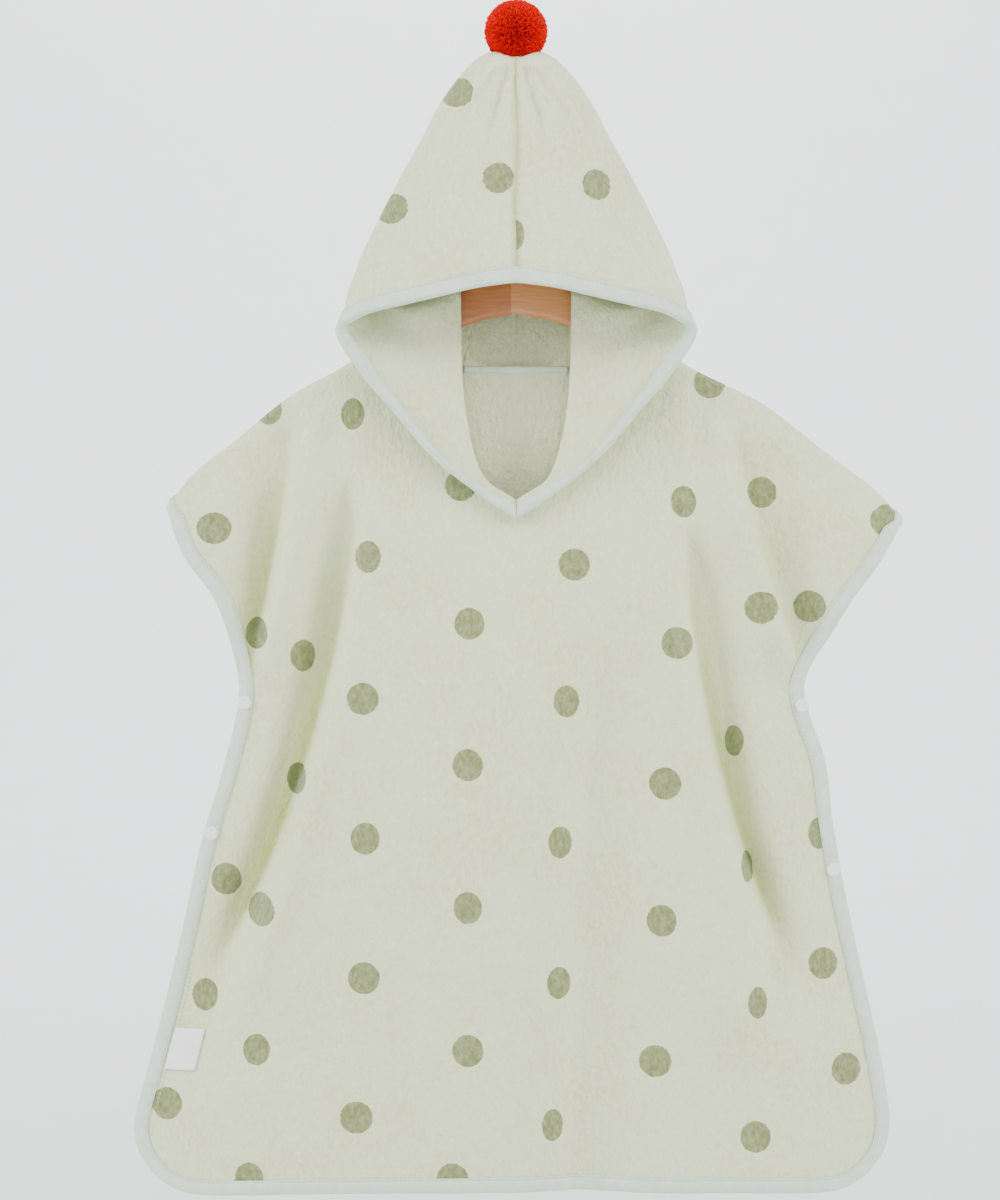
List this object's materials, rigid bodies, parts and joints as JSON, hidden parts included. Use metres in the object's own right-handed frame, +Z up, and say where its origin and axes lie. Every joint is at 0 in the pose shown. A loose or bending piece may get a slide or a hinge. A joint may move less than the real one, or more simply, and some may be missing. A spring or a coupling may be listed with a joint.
{
  "type": "hooded bath poncho on a wooden hanger",
  "caption": "Child's hooded terry bath poncho with a pompom, bound edges and snapped open sides, hanging on a wooden hanger with a steel hook.",
  "frame": {"origin": "inside top of the hanger's hook, where a rail or wall hook carries it", "axes": "+Z up, -Y out of the front, +X to the viewer's right when seen from the front"},
  "size_m": [0.6128, 0.0962, 0.949],
  "materials": {
    "terry": "soft cotton terry, pale green cream with sage dots",
    "tape": "woven cotton tape, pale mint",
    "label": "smooth woven ribbon, white",
    "yarn": "cut wool yarn, red",
    "wood": "satin varnish",
    "steel": "polished wire",
    "snap": "white, satin gloss"
  },
  "bodies": {
    "root": {"front_panel": "terry", "back_panel": "terry", "hood_left": "terry", "hood_right": "terry", "front_binding": "tape", "back_binding": "tape", "hood_binding": "tape", "neck_tape": "tape", "label": "label", "pompom": "yarn", "hanger_bar": "wood", "hanger_hook": "steel", "snap_left_upper_cap": "snap", "snap_left_upper_socket": "snap", "snap_left_upper_back_cap": "snap", "snap_left_lower_cap": "snap", "snap_left_lower_socket": "snap", "snap_left_lower_back_cap": "snap", "snap_right_upper_cap": "snap", "snap_right_upper_socket": "snap", "snap_right_upper_back_cap": "snap", "snap_right_lower_cap": "snap", "snap_right_lower_socket": "snap", "snap_right_lower_back_cap": "snap"}
  },
  "joints": []
}
